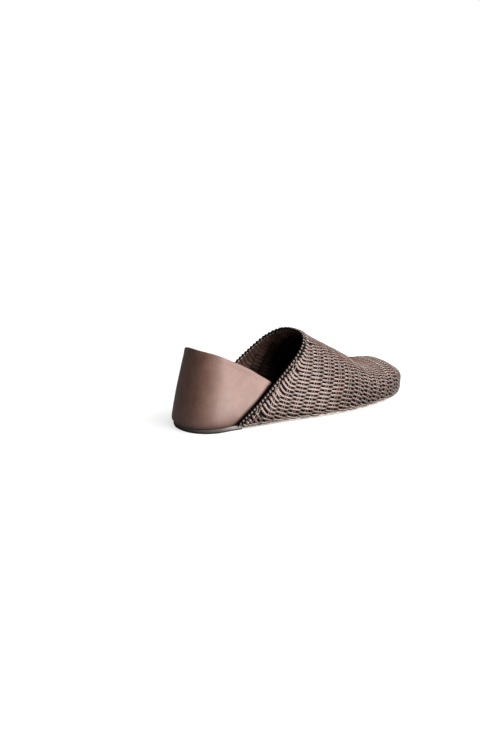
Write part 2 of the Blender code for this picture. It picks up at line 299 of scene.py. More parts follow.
def stake_section(side):
    """Points of every chart column, at even runs from the ridge past the sole, and its length."""
    foot = np.minimum(STAKE_FOOT + STAKE_PITCH * chart_columns, LENGTH)[:, None]
    slant = faded(STAKE_SLANT, 0.0, chart_columns, UPRIGHT_FROM, UPRIGHT_BY)[:, None]
    turn = np.linspace(1, -1, SECTION_SAMPLES)[None, :] + 0 * foot
    low = foot - 2 * FOOT_LEVEL + 0 * turn
    high = np.full(turn.shape, LENGTH)
    for _ in range(SOLVE_STEPS):
        x = (low + high) / 2
        past = x - slant * (section_height(x, turn) - FOOT_LEVEL) > foot
        high = np.where(past, x, high)
        low = np.where(past, low, x)
    z = section_height(x, turn)
    dense = np.stack([x, form_side(x, z, side), z], axis=2)
    dense[:, 0, 1] = through(RIDGE, x[:, 0], 2)
    runs = np.arange(0, RUN_LIMIT + RUN_STEP, RUN_STEP)
    sections = np.empty((len(chart_columns), len(runs), 3))
    lengths = np.empty(len(chart_columns))
    for c, section in enumerate(dense):
        run = run_along(section)
        lengths[c] = run[-1]
        for axis in range(3):
            sections[c, :, axis] = np.interp(runs, run, section[:, axis])
        sections[c, :, 2] -= np.maximum(runs - run[-1], 0)
    return sections, lengths


def make_chart():
    outer, outer_length = stake_section(OUTER)
    inner, inner_length = stake_section(INNER)
    place = np.concatenate([outer[:, :0:-1], inner], axis=1)
    past = np.empty(place.shape[:2])
    for side, half in halves(chart_runs):
        past[:, half] = past_collar(place[:, half, 0], place[:, half, 2], side)
    place[..., 0] += heel_lean(place[..., 0], place[..., 2])
    out = np.cross(np.gradient(place, axis=0), np.gradient(place, axis=1))
    out *= np.sign(out[len(out) // 2, len(chart_runs) // 2, 2])
    return place, unit(out), past, {OUTER: outer_length, INNER: inner_length}


chart_place, chart_out, chart_past, half_girth = make_chart()
girths = [float(np.interp(0, chart_columns, half_girth[side])) for side in (OUTER, INNER)]
print("half girths at the first stake:", np.round(girths, 1).tolist())


# %% [markdown]
# Short functions read the chart. Between its lines the values are blended, so a cord may run at
# any broken column and run.

# %% Reading the chart
def on_chart(values, columns, runs):
    """Values of the chart's grid read between its lines."""
    a = np.clip((columns - CHART_FIRST) / CHART_STEP, 0, len(chart_columns) - INSIDE_GRID)
    b = np.clip((runs + RUN_LIMIT) / RUN_STEP, 0, len(chart_runs) - INSIDE_GRID)
    i = a.astype(int)
    j = b.astype(int)
    shape = a.shape + (1,) * (values.ndim - 2)
    u = (a - i).reshape(shape)
    v = (b - j).reshape(shape)
    near = values[i, j] * (1 - v) + values[i, j + 1] * v
    far = values[i + 1, j] * (1 - v) + values[i + 1, j + 1] * v
    return near * (1 - u) + far * u


def on_last(columns, runs):
    """Points of the last at places of the chart, and the outward direction there."""
    return on_chart(chart_place, columns, runs), unit(on_chart(chart_out, columns, runs))


def evenly(columns, runs, step):
    """Even steps along a chart route: their columns, points on the last and outward directions."""
    run, marks = even_marks(on_chart(chart_place, columns, runs), step)
    columns = np.interp(marks, run, columns)
    return columns, *on_last(columns, np.interp(marks, run, runs))


def half_girth_at(columns, runs):
    """Distance from the ridge to the sole, on the side that each run lies on."""
    outer = np.interp(columns, chart_columns, half_girth[OUTER])
    return np.where(runs < 0, outer, np.interp(columns, chart_columns, half_girth[INNER]))


def collar_column(past):
    """Columns, one for every run of the chart, of the line that lies a distance past the collar."""
    return np.array([np.interp(past, line, chart_columns) for line in chart_past.T])


print("chart of", len(chart_columns), "columns and", len(chart_runs), "runs")


# %% [markdown]
# All cords are made the same way: a ring of points is carried along a path, flat to the last and a
# little wider than thick, because soft leather cord presses flat where it bends over its neighbours.
# Hundreds of tubes are joined into one mesh from arrays; separate objects would only slow Blender.
# Each point keeps the tone of its cord and its painted light and shade, mostly set by how far it stands
# out, for the material to read.

# %% Tubes from paths
OFF_FLOOR = 0.15


def add_layer(mesh, name, values):
    """Number on every point of a mesh, for its material to read."""
    layer = mesh.attributes.new(name, "FLOAT", "POINT")
    layer.data.foreach_set("value", values.astype(np.float32))


class CordMesh:
    """Gathers tubes and makes one piece of them."""

    def __init__(self, name):
        self.name = name
        self.points = []
        self.faces = []
        self.tones = []
        self.painted_lights = []
        self.count = 0

    # lift and inside carry the painted light and shade of the tube's outer and inner faces.
    def add(self, path, out, wide, thick, tone, lift, sides, inside=None):
        """One closed tube along a path; out is the outward direction, wide and thick its section."""
        lift = np.broadcast_to(lift, len(path))
        inside = lift if inside is None else inside
        along = unit(np.gradient(path, axis=0))
        across = unit(np.cross(along, out))
        up = np.cross(across, along)
        angle = 2 * np.pi * np.arange(sides) / sides
        ring = (across[:, None] * np.cos(angle)[None, :, None] * np.reshape(wide, (-1, 1, 1)) / 2
                + up[:, None] * np.sin(angle)[None, :, None] * np.reshape(thick, (-1, 1, 1)) / 2)
        start = self.count + sides * np.arange(len(path) - 1)[:, None]
        first = start + np.arange(sides)
        turned = start + (np.arange(sides) + 1) % sides
        quads = np.stack([first, turned, turned + sides, first + sides], axis=2).reshape(-1, 4)
        self.faces += quads.tolist()
        self.faces.append((self.count + np.arange(sides)[::-1]).tolist())
        self.faces.append((self.count + sides * (len(path) - 1) + np.arange(sides)).tolist())
        self.points.append((path[:, None] + ring).reshape(-1, 3))
        self.tones.append(np.repeat(np.broadcast_to(tone, len(path)), sides))
        # Painted light round the ring: the outer face takes the lift value, the inner face the inside
        # value.
        facing = 0.5 + 0.5 * np.sin(angle)
        facing = facing * facing * (3 - 2 * facing)
        self.painted_lights.append((inside[:, None] * (1 - facing) + lift[:, None] * facing).ravel())
        self.count += sides * len(path)

    def make(self):
        mesh = bpy.data.meshes.new(self.name)
        points = np.concatenate(self.points)
        points[:, 2] = np.maximum(points[:, 2], OFF_FLOOR)
        points = (points - ORIGIN) * MM
        mesh.from_pydata(points.tolist(), [], self.faces)
        add_layer(mesh, "tone", np.concatenate(self.tones))
        # The lift layer holds painted light and shade, not the height of the cords.
        add_layer(mesh, "lift", np.concatenate(self.painted_lights))
        mesh.shade_smooth()
        piece = bpy.data.objects.new(self.name, mesh)
        bpy.context.scene.collection.objects.link(piece)
        mesh.calc_loop_triangles()
        print(self.name, "has", len(mesh.loop_triangles), "triangles")
        return piece


# %% [markdown]
# The rows of the weave run lengthwise, from the collar to the toe. They keep their distance from the
# ridge, so the low ones come down to the sole, where their ends turn along it. At the collar each
# visible row starts as a loop, leaves the rim square to it and then bends into its own line. The bead
# line is where those loops turn over.

# %% Lines of the rows
TOP_PITCH, LOW_PITCH = 1.58, 1.86
PITCH_FROM, PITCH_BY = 30.0, 75.0
ROW_COUNT = 90
FINE_STEP = RUN_STEP / 4
ROUTE_POINTS = 1200
BEAD_PAST, BEAD_WINDOW = 1.9, 2.0
HANG, TOE_HANG, SOLE_TAIL = -0.5, 2.0, 7.0
HANG_FROM, HANG_BY = 7.7, 9.8
BEND_SHIFT, BEND_LENGTH, BEND_POINTS = 9.0, 18.0, 40
BEND_FROM, BEND_BY, BEND_LEAST = 22.0, 78.0, 0.14
BEND_SQUARE = 0.3

bead_column = collar_column(BEAD_PAST)


def bead_at(run):
    """Place of the bead line on the chart, in millimetres, at a run, and its direction there."""
    around = [run - BEAD_WINDOW, run, run + BEAD_WINDOW]
    before, column, after = np.interp(around, chart_runs, bead_column)
    along = np.array([(after - before) * STAKE_PITCH / (2 * BEAD_WINDOW), 1.0])
    return np.array([column * STAKE_PITCH, run]), unit(along)


def hang(columns):
    """How far the cords hang past the sole line: most of the sole's edge is covered at the toe."""
    return faded(HANG, TOE_HANG, columns, HANG_FROM, HANG_BY)


def row_run(row):
    """Distance of a row from the ridge: the rows lie closer on the instep than low on the sides."""
    runs = np.arange(0, RUN_LIMIT, FINE_STEP)
    pitch = faded(TOP_PITCH, LOW_PITCH, runs, PITCH_FROM, PITCH_BY)
    rows_before = np.concatenate([[0], np.cumsum(FINE_STEP / pitch)[:-1]])
    return np.sign(row + 0.5) * np.interp(abs(row + 0.5), rows_before, runs)


def row_line(row):
    """Start of a row on the bead line, the way square to the rim there, and the row's chart route."""
    side = OUTER if row < 0 else INNER
    columns = np.linspace(CHART_FIRST, CHART_LAST - CHART_STEP, ROUTE_POINTS)
    runs = np.full(columns.shape, row_run(row))
    line = np.stack([columns * STAKE_PITCH, runs], axis=1)
    first = np.argmax(on_chart(chart_past, columns, runs) >= BEAD_PAST)
    _, along = bead_at(runs[first])
    strength = faded(BEND_LEAST, 1, abs(runs[first]), BEND_FROM, BEND_BY)
    bead, along = bead_at(runs[first] - side * BEND_SHIFT * strength * abs(along[0]))
    square = np.array([along[1], -along[0]])
    slope = BEND_SQUARE + (1 - BEND_SQUARE) * abs(along[0])
    rest = line[line[:, 0] > line[first, 0] + BEND_LENGTH * strength * slope]
    reach = np.linalg.norm(rest[0] - bead)
    share = np.linspace(0, 1, BEND_POINTS)[:-1, None]
    bend = smooth_bend(bead, square * reach, rest[0], unit(rest[1] - rest[0]) * reach, share)
    route = np.concatenate([bend, rest])
    columns = route[:, 0] / STAKE_PITCH
    limit = half_girth_at(columns, route[:, 1]) + hang(columns)
    held = np.abs(route[:, 1]) <= limit
    if not held[0]:
        return None
    if not held.all():
        last = route[np.argmin(held), 0] + SOLE_TAIL
        route[:, 1] = np.clip(route[:, 1], -limit, limit)
        route = route[held | (route[:, 0] < last)]
    return bead, square, route


print("last row at", round(float(row_run(ROW_COUNT - 1)), 1), "mm from the ridge")


# %% [markdown]
# Now the rows become cords. A row goes over one pair of stakes and under the next, its neighbours do
# the opposite, and where it dives it is pressed flat. The rows that reach the last stake are carried
# on over the tip of the toe. A little chance goes into place, width and tone.

# %% Rows of the weave
ROW_WIDE, ROW_THICK, ROW_SIDES = 2.12, 1.6, 8
UNDER_WIDE, UNDER_THICK = 3.9, 1.0
UNDER_FROM, UNDER_EASE = 0.45, 0.6
ROW_STEP, SHORTEST_ROW = 1.35, 4
WEAVE_MIDDLE = 1.65
OVER_RISE, UNDER_DROP = 0.95, 0.9
FLOAT_FLATNESS = 0.45
FIRST_FLOAT = 0.5
BEAD_RISE, BEAD_SWELL, BEAD_REACH = 0.9, 0.45, 1.2
# Painted shade on the loop behind each bead: how far behind the bead it starts and over what length it
# deepens.
LOOP_SHADE_BACK, LOOP_SHADE_FADE = 0.4, 1.3
RIB_SWELL, RIB_REACH = 0.06, 10.0
# Painted light on the inner faces of the rows: its level at the rim, deep in the shoe, and its reach
# from the rim.
INNER_LIT_AT_RIM, INNER_LIT_DEEP, INNER_LIT_REACH = 0.55, 0.2, 14.0
LOOP_LENGTH, LOOP_SINK, LOOP_WIDTH, LOOP_POINTS = 4.0, 1.7, 0.75, 12
ROW_WANDER, WIDTH_WANDER, RISE_WANDER, TONE_WANDER = 0.07, 0.04, 0.05, 0.12
SWAY_RATE, SWAY_SPREAD, DRIFT_SHARE = 1.3, 3.0, 0.4
TONE_RATE, TONE_SPREAD, TONE_SWING = 2.1, 5.0, 0.7
MIDDLE_TONE = 0.5
TOE_ROUND = 0.7
SEED = 11

chance = np.random.default_rng(SEED)


def over_and_under(columns, row, first_column):
    """Height of a row between its lowest and highest place; its first float keeps its side."""
    wave = np.cos(np.pi * (columns + row))
    centre = np.round(first_column + FIRST_FLOAT)
    wave = np.where(columns < centre, np.cos(np.pi * (centre + row)), wave)
    return np.sign(wave) * np.abs(wave) ** FLOAT_FLATNESS


def toe_end(base, out):
    """Points that carry a row from the last stake over the tip of the toe, down to the sole."""
    drop = base[-1, 2] - feather(LENGTH) + TOE_HANG
    count = max(int(drop / ROW_STEP), 0) + 2
    turn = np.linspace(0, np.pi / 2, count + 1)[1:, None]
    ahead = np.array([1.0, 0.0, 0.0])
    down = np.array([0.0, 0.0, -1.0])
    way = ahead * (LENGTH - base[-1, 0]) * TOE_ROUND * np.sin(turn) + down * drop * (1 - np.cos(turn))
    return base[-1] + way, unit(out[-1] * np.cos(turn) + ahead * np.sin(turn))


def row_places(whole, sway, phase, drift):
    """Columns of a row's points, the points on the last and the outward directions there."""
    columns = whole[:, 0] / STAKE_PITCH
    wave = sway * np.sin(SWAY_RATE * columns + SWAY_SPREAD * phase) + DRIFT_SHARE * drift
    columns, base, out = evenly(columns, whole[:, 1] + ROW_WANDER * wave, ROW_STEP)
    if columns[-1] > CHART_LAST - 2 * CHART_STEP and base[-1, 2] > feather(LENGTH):
        end, facing = toe_end(base, out)
        base = np.concatenate([base, end])
        out = np.concatenate([out, facing])
        columns = np.concatenate([columns, np.full(len(end), columns[-1])])
    return columns, base, out


def add_row(cords, row, beads):
    line = row_line(row)
    sway, phase, drift, girth, rise = chance.normal(0, 1, 5)
    if line is None or len(line[2]) < SHORTEST_ROW:
        return
    bead, square, route = line
    loop = bead - square * np.linspace(LOOP_LENGTH, 0, LOOP_POINTS)[:-1, None]
    columns, base, out = row_places(np.concatenate([loop, route]), sway, phase, drift)
    height = over_and_under(columns, row, route[0, 0] / STAKE_PITCH)
    below = np.clip((UNDER_FROM - height) / UNDER_EASE, 0, 1)
    wide = (ROW_WIDE + (UNDER_WIDE - ROW_WIDE) * below) * (1 + WIDTH_WANDER * girth)
    thick = ROW_THICK + (UNDER_THICK - ROW_THICK) * below
    lift = np.where(height > 0, OVER_RISE * (1 + RISE_WANDER * rise), UNDER_DROP) * height
    past_bead = run_along(base) - LOOP_LENGTH
    # Painted light: floats are painted lighter than unders, and the loop in the channel is painted dark.
    shown = 0.5 + 0.5 * height
    if height[0] > 0:
        shown = shown * np.clip(1 + (past_bead + LOOP_SHADE_BACK) / LOOP_SHADE_FADE, 0, 1)
        beads[OUTER if row < 0 else INNER].append((bead, square))
        swell = np.exp(-(past_bead / BEAD_REACH) ** 2)
        sunk = LOOP_SINK * np.sin(np.pi * np.clip(-past_bead / LOOP_LENGTH, 0, 1))
        lift = lift + BEAD_RISE * swell - sunk
        rib = RIB_SWELL * np.exp(-(past_bead / RIB_REACH) ** 2)
        wide = wide * np.where(past_bead < -BEAD_REACH, LOOP_WIDTH, 1 + BEAD_SWELL * swell + rib)
    path = base + out * (WEAVE_MIDDLE + lift)[:, None]
    swing = np.sin(TONE_RATE * columns + TONE_SPREAD * girth)
    tone = MIDDLE_TONE + TONE_WANDER * (drift + TONE_SWING * swing)
    # Painted light on the inner faces, lighter near the rim and darker deeper in the shoe.
    lit_near_rim = np.exp(-(past_bead / INNER_LIT_REACH) ** 2)
    inside = (1 - height) * (INNER_LIT_DEEP + (INNER_LIT_AT_RIM - INNER_LIT_DEEP) * lit_near_rim)
    cords.add(path, out, wide, thick, tone, shown, ROW_SIDES, inside)


beads = {OUTER: [], INNER: []}
rows = CordMesh("woven_rows")
for row in range(-ROW_COUNT, ROW_COUNT):
    add_row(rows, row, beads)
woven_rows = rows.make()
print("loops at the rim:", {side: len(found) for side, found in beads.items()})


# %% [markdown]
# The stakes are pairs of thinner cords that stand from sole to sole, square to the rows. Only short
# lengths of them show, in the small dark windows between the floats, but they make those windows:
# without them the weave would look like a bead curtain.

# %% Stakes
STAKE_FIRST, STAKE_LAST = -4, 11
STAKE_APART = 0.095
STAKE_WIDE, STAKE_THICK, STAKE_SIDES = 1.3, 1.2, 6
STAKE_STEP, SHORTEST_STAKE = 1.4, 8
STAKE_START = -2.0
STAKE_RISE = 0.4
# Painted light of the stakes: nearly as light as the floats, so they show in the dark windows.
STAKE_PAINTED_LIGHT = 0.9
STAKE_TONE = 0.42
CROSS_STEP = 0.5


def add_stake(cords, column):
    """Cord from the sole over the ridge to the sole, or two cords where the collar cuts it."""
    tone = STAKE_TONE + TONE_WANDER * chance.normal()
    runs = np.arange(-RUN_LIMIT, RUN_LIMIT, CROSS_STEP)
    columns = np.full(runs.shape, float(column))
    above_sole = np.abs(runs) <= half_girth_at(columns, runs) + hang(column)
    places = np.flatnonzero(above_sole & (on_chart(chart_past, columns, runs) >= STAKE_START))
    for stretch in np.split(places, np.flatnonzero(np.diff(places) > 1) + 1):
        if len(stretch) < SHORTEST_STAKE:
            continue
        _, base, out = evenly(columns[stretch], runs[stretch], STAKE_STEP)
        path = base + out * (WEAVE_MIDDLE + STAKE_RISE)
        cords.add(path, out, STAKE_WIDE, STAKE_THICK, tone, STAKE_PAINTED_LIGHT, STAKE_SIDES)


stakes = CordMesh("stake_cords")
for column in range(STAKE_FIRST, STAKE_LAST + 1):
    for half in (-STAKE_APART, STAKE_APART):
        if column + half < CHART_LAST - 2 * CHART_STEP:
            add_stake(stakes, column + half)
stake_cords = stakes.make()


# %% [markdown]
# The collar is finished with a corded edge. It runs up from the sole on one side, over the instep and
# down on the other. Short loops are wound over a core, one beside another, so the edge shows the row
# of small beads that also breaks up its outline.

# %% Rim rope
ROPE_PAST = -4.1
ROPE_RISE = 1.8
# Painted highlight on each loop's crest and painted shade round the rest: crest place, dim level,
# sharpness.
ROPE_LIT, ROPE_DIM, ROPE_SHARPNESS = -0.15, 0.2, 3
ROPE_STEP, ROPE_SIDES = 0.9, 8
CORE_THICK, CORE_PAINTED_LIGHT = 1.5, 0.1
EDGE_PITCH, EDGE_RADIUS, EDGE_SLANT = 3.6, 0.95, 0.3
EDGE_WIDE, EDGE_THICK = 2.1, 1.3
EDGE_FROM, EDGE_TO, EDGE_POINTS = -0.6, 3.6, 11
EDGE_TONE_RATE = 1.7


def add_rope(cords):
    """A core that follows the collar, with short loops wound over it."""
    runs = np.arange(-RUN_LIMIT, RUN_LIMIT, CROSS_STEP)
    columns = np.interp(runs, chart_runs, collar_column(ROPE_PAST))
    held = np.abs(runs) <= half_girth_at(columns, runs)
    _, base, out = evenly(columns[held], runs[held], ROPE_STEP)
    middle = base + out * ROPE_RISE
    # The core is painted dark, as the shade under the loops.
    cords.add(middle, out, CORE_THICK, CORE_THICK, MIDDLE_TONE, CORE_PAINTED_LIGHT, ROPE_SIDES)
    along = unit(np.gradient(middle, axis=0))
    mouth = np.cross(along, out)
    mouth *= -np.sign(mouth[:, :1])
    turn = np.linspace(EDGE_FROM, EDGE_TO, EDGE_POINTS)[:, None]
    # Painted highlight on the crest of every loop, painted shade round its back.
    crest = np.clip(np.cos(turn[:, 0] - ROPE_LIT), 0, 1)
    shown = ROPE_DIM + (1 - ROPE_DIM) * crest ** ROPE_SHARPNESS
    run, marks = even_marks(middle, EDGE_PITCH)
    for count, share in enumerate(np.interp(marks, run, np.arange(len(middle)))[1:-1]):
        at = int(round(share))
        spoke = out[at] * np.cos(turn) + mouth[at] * np.sin(turn)
        path = middle[at] + spoke * EDGE_RADIUS + along[at] * EDGE_SLANT * (turn - np.pi / 2)
        tone = MIDDLE_TONE + TONE_WANDER * np.sin(EDGE_TONE_RATE * count)
        cords.add(path, spoke, EDGE_WIDE, EDGE_THICK, tone, shown, ROPE_SIDES)


rope = CordMesh("rim_rope")
add_rope(rope)
rim_rope = rope.make()


# %% [markdown]
# Between the rope and the loops lies a narrow channel, laced crosswise. One lace runs from every loop
# to the rope beside the next one, and another to the rope beside the one before, a little lower, so
# the channel shows small crosses with dark holes between them.

# %% Rim lacing
LACE_WIDE, LACE_THICK, LACE_SIDES, LACE_POINTS = 1.0, 0.8, 6, 7
LACE_RISE = {1: 0.1, -1: -0.35}
# Painted light of the laces: a faint painted highlight along the middle of the upper ones, painted shade
# on the rest.
LACE_LIT = {1: 0.3, -1: 0.0}
LACE_LIT_REACH = 0.2
LACE_TONE = 0.45


def add_lacing(cords):
    share = np.linspace(0, 1, LACE_POINTS)[:, None]
    lit = np.exp(-((share[:, 0] - 0.5) / LACE_LIT_REACH) ** 2)
    for side in (OUTER, INNER):
        line = sorted(beads[side], key=lambda found: found[0][1])
        for i, (bead, _) in enumerate(line):
            for step, rise in LACE_RISE.items():
                if not 0 <= i + step < len(line):
                    continue
                beside, square = line[i + step]
                route = bead * (1 - share) + (beside - square * LOOP_LENGTH) * share
                base, out = on_last(route[:, 0] / STAKE_PITCH, route[:, 1])
                path = base + out * (WEAVE_MIDDLE + rise)
                tone = LACE_TONE + TONE_WANDER * chance.normal()
                cords.add(path, out, LACE_WIDE, LACE_THICK, tone, LACE_LIT[step] * lit, LACE_SIDES)


lacing = CordMesh("rim_lacing")
add_lacing(lacing)
rim_lacing = lacing.make()


# %% [markdown]
# The smooth pieces start as a flat grid, the way a maker starts with a flat hide. The grid's points
# are laid on the last by a function, Solidify gives the sheet its thickness, and Bevel rounds its cut
# edges. The modifiers are applied, so that what is shown is what is kept.

# %% Sheets on the last
BEVEL_ANGLE = math.radians(50)
SMOOTH_ANGLE = math.radians(40)


def points_of(mesh):
    """Coordinates of a mesh's points, one row for each."""
    flat = np.empty(3 * len(mesh.vertices))
    mesh.vertices.foreach_get("co", flat)
    return flat.reshape(-1, 3)


def lay_sheet(name, across, along, laid):
    """Grid primitive whose points are placed by a function of their two shares."""
    bpy.ops.object.select_all(action="DESELECT")
    bpy.ops.mesh.primitive_grid_add(x_subdivisions=across, y_subdivisions=along, size=1.0)
    piece = bpy.context.object
    piece.name = name
    piece.data.name = name
    shares = np.clip(points_of(piece.data)[:, :2] + 0.5, 0, 1)
    points = (laid(shares[:, 0], shares[:, 1]) - ORIGIN) * MM
    piece.data.vertices.foreach_set("co", points.ravel())
    piece.data.update()
    return piece


def thicken(piece, thickness, even):
    """Wall grown inwards from the sheet."""
    bpy.ops.object.modifier_add(type="SOLIDIFY")
    wall = piece.modifiers[-1]
    wall.thickness = thickness * MM
    wall.offset = -1
    wall.use_even_offset = even
    bpy.ops.object.modifier_apply(modifier=wall.name)


def apply_wall(piece, thickness, rounding, segments=3):
    """Wall of even thickness with its edges rounded."""
    thicken(piece, thickness, True)
    bpy.ops.object.modifier_add(type="BEVEL")
    edge = piece.modifiers[-1]
    edge.width = rounding * MM
    edge.segments = segments
    edge.limit_method = "ANGLE"
    edge.angle_limit = BEVEL_ANGLE
    bpy.ops.object.modifier_apply(modifier=edge.name)
    bpy.ops.object.shade_smooth_by_angle(angle=SMOOTH_ANGLE)
    print(piece.name, "has", len(piece.data.polygons), "faces")


# %% [markdown]
# The heel counter is one soft leather panel that wraps the heel and runs forward inside the vamp. Its
# top edge is turned over, which leaves a low band with a faint step under it. A few slow swells keep
# the leather from looking like moulded plastic. Beside the rim it is hollowed,
# and every point there notes how deep it lies in the shade, for the material to read.

# %% Heel counter
COUNTER_WALL, COUNTER_ROUND, COUNTER_SEGMENTS = 1.8, 0.8, 4
COUNTER_TOP = [
    (0.0, 73.4), (12.0, 70.9), (38.0, 61.2), (54.0, 53.8), (70.0, 43.8), (82.0, 35.6), (120.0, 12.0),
]
INNER_DROP, DROP_REACH = 2.4, 4.0
COUNTER_REACH = 16.0
COUNTER_ACROSS, COUNTER_ALONG, COUNTER_CROWDING = 160, 44, 1.7
FOLD_DEEP, FOLD_STEP, FOLD_SOFT = 4.6, 0.36, 1.4
FOLD_END, FOLD_FADE = 0.86, 0.12
TUCKED_IN, TUCK_SOFT = 0.7, 0.6
# Height, depth of the hollow beside the rim, its reach behind the rim, depth of the gap under the rim
RIM_HOLLOW = [(5.0, 1.0, 5.0, 0.8), (20.0, 2.2, 9.0, 2.4), (42.0, 3.4, 16.0, 2.8)]
RIM_GAP_REACH = 5.5
# Where the painted shade beside the rim begins and where it is full, in millimetres past the collar
# line.
SHADE_FROM, SHADE_BY = -13.0, -6.5
# Side, station, height, length along, height of the swell, rise in millimetres
SWELLS = [
    (OUTER, 22.0, 16.0, 9.0, 16.0, 0.25),
    (OUTER, 46.0, 26.0, 10.0, 18.0, -0.30),
    (OUTER, 62.0, 16.0, 7.0, 12.0, 0.22),
    (OUTER, 34.0, 44.0, 14.0, 8.0, 0.20),
    (INNER, 26.0, 20.0, 10.0, 15.0, 0.25),
    (INNER, 50.0, 28.0, 11.0, 16.0, -0.30),
]


def counter_top(x, side):
    """Height of the counter's top edge, a little lower on the inner side."""
    drop = INNER_DROP * (1 - np.exp(-x / DROP_REACH)) if side == INNER else 0.0
    return through(COUNTER_TOP, x) - drop


def counter_place(share, rise, side):
    """Station and height on the counter: share runs to its front, rise from the sole to the top."""
    x = COLLAR_FOOT[side] * share
    for _ in range(SOLVE_STEPS):
        low = feather(x) + SEAT_GAP
        z = low + (counter_top(x, side) - low) * rise
        x = share * (COLLAR_FOOT[side] + COUNTER_REACH + collar_slant(side) * (z - FOOT_LEVEL))
    return x, z


def counter_relief(x, z, share, side):
    """How far the leather stands out from the last: its fold, tucked foot, hollow, gap and swells."""
    fold = eased(FOLD_STEP, 0, (counter_top(x, side) - z - FOLD_DEEP) / FOLD_SOFT + 0.5)
    out = fold * np.clip((FOLD_END - share) / FOLD_FADE, 0, 1)
    out = out - TUCKED_IN * np.exp(-((z - feather(x) - SEAT_GAP) / TUCK_SOFT) ** 2)
    past = past_collar(x, z, side)
    out = out - eased(0, 1, 1 + past / through(RIM_HOLLOW, z, 2)) * through(RIM_HOLLOW, z)
    out = out - np.clip(1 + past / RIM_GAP_REACH, 0, 1) ** 2 * through(RIM_HOLLOW, z, 3)
    for where, at, level, long, high, rise in SWELLS:
        if where == side:
            out = out + rise * np.exp(-((x - at) / long) ** 2 - ((z - level) / high) ** 2)
    return out


def counter_laid(across, along):
    turn = 1 - 2 * across
    points = np.empty(across.shape + (3,))
    for side, half in halves(turn):
        share = np.abs(turn[half]) ** COUNTER_CROWDING
        x, z = counter_place(share, along[half], side)
        out = counter_relief(x, z, share, side)
        back = np.clip(1 - x / HEEL_AT, 0, 1)
        ahead = x + heel_lean(x, z) - out * back
        aside = form_side(x, z, side) + side * out * (1 - back)
        points[half] = np.stack([ahead, aside, z], axis=-1)
    return points


def mark_shade(piece):
    """Notes on every point how deep it lies in the shade under the rim, for the material's painted
    shade.
    """
    x, y, z = (points_of(piece.data) / MM + ORIGIN).T
    shade = np.empty(len(x))
    for side, half in halves(y):
        shade[half] = faded(0, 1, past_collar(x[half], z[half], side), SHADE_FROM, SHADE_BY)
    add_layer(piece.data, "shade", shade)


heel_counter = lay_sheet("counter_leather", COUNTER_ACROSS, COUNTER_ALONG, counter_laid)
apply_wall(heel_counter, COUNTER_WALL, COUNTER_ROUND, COUNTER_SEGMENTS)
mark_shade(heel_counter)


# %% [markdown]
# The sole is a single thin piece of pale leather with its edge left natural, cut to the last's outline
# with a small margin. The heel lift under it is a black wedge, flat on the floor, and the insole is a
# sheet inside, painted near-black as the shade inside the shoe. All three come from the same outline,
# pushed out or in.

# %% Sole, lift and insole
SOLE_MARGIN = [(0.0, 0.2), (30.0, -0.2), (60.0, 0.4), (90.0, 1.6), (200.0, 1.6), (250.0, 1.2)]
SOLE_ACROSS, SOLE_LANES, SOLE_ROUND = 150, 18, 0.45
LIFT_LENGTH, LIFT_INSET, LIFT_THICK = 46.0, 0.4, 2.0
LIFT_ACROSS, LIFT_CROWDING = 60, 1.8
INSOLE_THICK, INSOLE_INSET, INSOLE_ROUND = 2.0, 2.6, 0.4
EDGE_SAMPLES = 1201


def plan_edge(side, margin):
    """Edge of the form seen from above, pushed out by a margin, from heel to toe."""
    x = LENGTH * eased(0, 1, np.linspace(0, 1, EDGE_SAMPLES))
    edge = np.stack([x, outline(x, side)], axis=1)
    along = np.gradient(edge, axis=0)
    along[0] = (0, side)
    along[-1] = (0, -side)
    out = np.stack([-along[:, 1], along[:, 0]], axis=1) * side
    return edge + unit(out) * np.reshape(margin(x), (-1, 1))


def sole_laid(margin, height, front=None):
    """Function that lays a grid between the two edges, crowded at the round ends."""
    edges = [plan_edge(side, margin) for side in (OUTER, INNER)]
    first = edges[0][0, 0]
    last = front or edges[0][-1, 0]

    def laid(across, along):
        share = across ** LIFT_CROWDING if front else eased(0, 1, across)
        x = first + (last - first) * share
        ys = [np.interp(x, edge[:, 0], edge[:, 1]) for edge in edges]
        y = ys[0] * (1 - along) + ys[1] * along
        return np.stack([x, y, height(np.clip(x, 0, LENGTH))], axis=1)

    return laid


outsole = lay_sheet("sole_sheet", SOLE_ACROSS, SOLE_LANES, sole_laid(
    lambda x: through(SOLE_MARGIN, x), feather))
apply_wall(outsole, SOLE_THICK, SOLE_ROUND)

insole = lay_sheet("insole_sheet", SOLE_ACROSS, SOLE_LANES, sole_laid(
    lambda x: 0 * x - INSOLE_INSET, lambda x: feather(x) + SEAT_GAP + INSOLE_THICK))
apply_wall(insole, INSOLE_THICK, INSOLE_ROUND)

heel_lift = lay_sheet("lift_wedge", LIFT_ACROSS, SOLE_LANES, sole_laid(
    lambda x: 0 * x - LIFT_INSET, lambda x: through(UNDERSIDE, x) - SEAT_GAP, LIFT_LENGTH))
upper_points = len(heel_lift.data.vertices)
thicken(heel_lift, LIFT_THICK, False)
for point in heel_lift.data.vertices[upper_points:]:
    top = heel_lift.data.vertices[point.index - upper_points].co
    point.co = (top.x, top.y, 0)
bpy.ops.object.shade_smooth_by_angle(angle=SMOOTH_ANGLE)
print(heel_lift.name, "has", len(heel_lift.data.polygons), "faces")


# %% [markdown]
# Materials are built from a few kinds of node that come up again and again, so each kind gets a short
# function. A socket is fed either a fixed value or the output of another node.

# %% Node helpers
def feed(tree, node, contents):
    """Gives each named socket of a node a fixed value, or the output of another node."""
    for socket, content in contents.items():
        if isinstance(content, bpy.types.NodeSocket):
            tree.links.new(content, node.inputs[socket])
        else:
            node.inputs[socket].default_value = content


